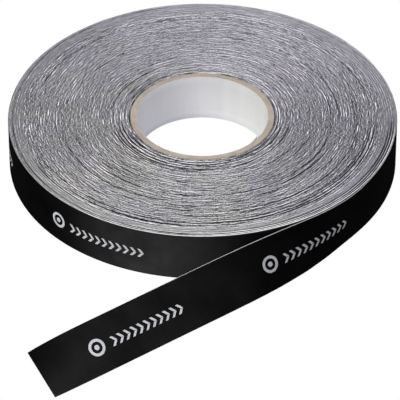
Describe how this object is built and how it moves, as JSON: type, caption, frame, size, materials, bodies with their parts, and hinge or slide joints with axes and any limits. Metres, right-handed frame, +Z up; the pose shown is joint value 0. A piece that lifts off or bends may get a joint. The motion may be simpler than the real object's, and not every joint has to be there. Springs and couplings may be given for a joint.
{
  "type": "grip tape roll",
  "caption": "Reel of self-adhesive racket grip tape on a paperboard core, its free tail twisting down off the reel, hinged to wrap back on, with a film end that peels from its liner.",
  "frame": {"origin": "on the reel's axis, in the plane the reel rests on", "axes": "+Z up along the core bore; the free tail leaves the reel at 30 degrees clockwise from +X and runs off towards -X -Y"},
  "size_m": [0.2256, 0.3267, 0.03],
  "materials": {
    "core_facing_paper": "matt white facing paper, faint vertical grain",
    "core_board": "matt kraft paperboard",
    "starter_tissue": "matt tissue carrier, tacky both sides",
    "film": "satin black elastomer, very fine grain",
    "adhesive": "clear to milky acrylic adhesive, glossy where it shows",
    "liner": "silicone-coated white release paper, soft sheen"
  },
  "bodies": {
    "reel": {"core_inner_ply": "core_facing_paper", "core_body_ply_1": "core_board", "core_body_ply_2": "core_board", "core_body_ply_3": "core_board", "core_outer_ply": "core_board", "starter_strip": "starter_tissue", "film_wound": "film", "film_last_turn": "film", "adhesive_wound": "adhesive", "liner_wound": "liner"},
    "tail_1": {"film_tail_1": "film", "adhesive_tail_1": "adhesive", "liner_tail_1": "liner"},
    "tail_2": {"film_tail_2": "film", "adhesive_tail_2": "adhesive", "liner_tail_2": "liner"},
    "tail_3": {"film_tail_3": "film", "adhesive_tail_3": "adhesive", "liner_tail_3": "liner"},
    "tail_4": {"film_tail_4": "film", "adhesive_tail_4": "adhesive", "liner_tail_4": "liner"},
    "tail_5": {"film_tail_5": "film", "adhesive_tail_5": "adhesive", "liner_tail_5": "liner"},
    "tail_6": {"film_tail_6": "film", "adhesive_tail_6": "adhesive", "liner_tail_6": "liner"},
    "tail_7": {"film_tail_7": "film", "adhesive_tail_7": "adhesive", "liner_tail_7": "liner"},
    "peel_1": {"film_peel_1": "film", "adhesive_peel_1": "adhesive"},
    "peel_2": {"film_peel_2": "film", "adhesive_peel_2": "adhesive"},
    "peel_3": {"film_peel_3": "film", "adhesive_peel_3": "adhesive"}
  },
  "joints": [
    {"name": "tail_lift", "type": "hinge", "parent": "reel", "child": "tail_1", "pos_m": [0.09786, -0.0565, 0.015], "axis": [0, 0, 1], "range_deg": [0, 35]},
    {"name": "tail_wrap_2", "type": "hinge", "parent": "tail_1", "child": "tail_2", "pos_m": [0.07834, -0.08248, 0.01501], "axis": [0.6135, 0.6903, -0.3836], "range_deg": [0, 4.83]},
    {"name": "tail_wrap", "type": "hinge", "parent": "tail_2", "child": "tail_3", "pos_m": [0.05413, -0.1042, 0.01468], "axis": [0.758, 0.3823, -0.5285], "range_deg": [0, 30.62]},
    {"name": "tail_wrap_4", "type": "hinge", "parent": "tail_3", "child": "tail_4", "pos_m": [0.02759, -0.12306, 0.01333], "axis": [0.821, 0.0298, -0.5702], "range_deg": [0, 15.84]},
    {"name": "tail_wrap_5", "type": "hinge", "parent": "tail_4", "child": "tail_5", "pos_m": [0.00066, -0.14141, 0.01175], "axis": [0.5669, -0.4104, -0.7143], "range_deg": [0, 19.8]},
    {"name": "tail_wrap_6", "type": "hinge", "parent": "tail_5", "child": "tail_6", "pos_m": [-0.02572, -0.1606, 0.01118], "axis": [0.4389, -0.545, -0.7144], "range_deg": [0, 15.78]},
    {"name": "tail_wrap_7", "type": "hinge", "parent": "tail_6", "child": "tail_7", "pos_m": [-0.05192, -0.18, 0.01084], "axis": [0.8738, -0.0822, -0.4793], "range_deg": [0, 14.56]},
    {"name": "peel", "type": "hinge", "parent": "tail_7", "child": "peel_1", "pos_m": [-0.0567, -0.18364, 0.01088], "axis": [-0.4517, 0.6018, 0.6587], "range_deg": [0, 45]},
    {"name": "peel_follow_2", "type": "hinge", "parent": "peel_1", "child": "peel_2", "pos_m": [-0.06663, -0.19033, 0.01017], "axis": [-0.473, 0.6392, 0.6064], "range_deg": [0, 45]},
    {"name": "peel_follow_3", "type": "hinge", "parent": "peel_2", "child": "peel_3", "pos_m": [-0.07675, -0.19667, 0.00894], "axis": [-0.4963, 0.6928, 0.5231], "range_deg": [0, 45]}
  ],
  "couplings": [
    {"joint": "tail_wrap_2", "follows": "tail_wrap", "ratio": 0.1561},
    {"joint": "tail_wrap_4", "follows": "tail_wrap", "ratio": 0.5155},
    {"joint": "tail_wrap_5", "follows": "tail_wrap", "ratio": 0.64483},
    {"joint": "tail_wrap_6", "follows": "tail_wrap", "ratio": 0.51374},
    {"joint": "tail_wrap_7", "follows": "tail_wrap", "ratio": 0.47394},
    {"joint": "peel_follow_2", "follows": "peel", "ratio": 1},
    {"joint": "peel_follow_3", "follows": "peel", "ratio": 1}
  ]
}
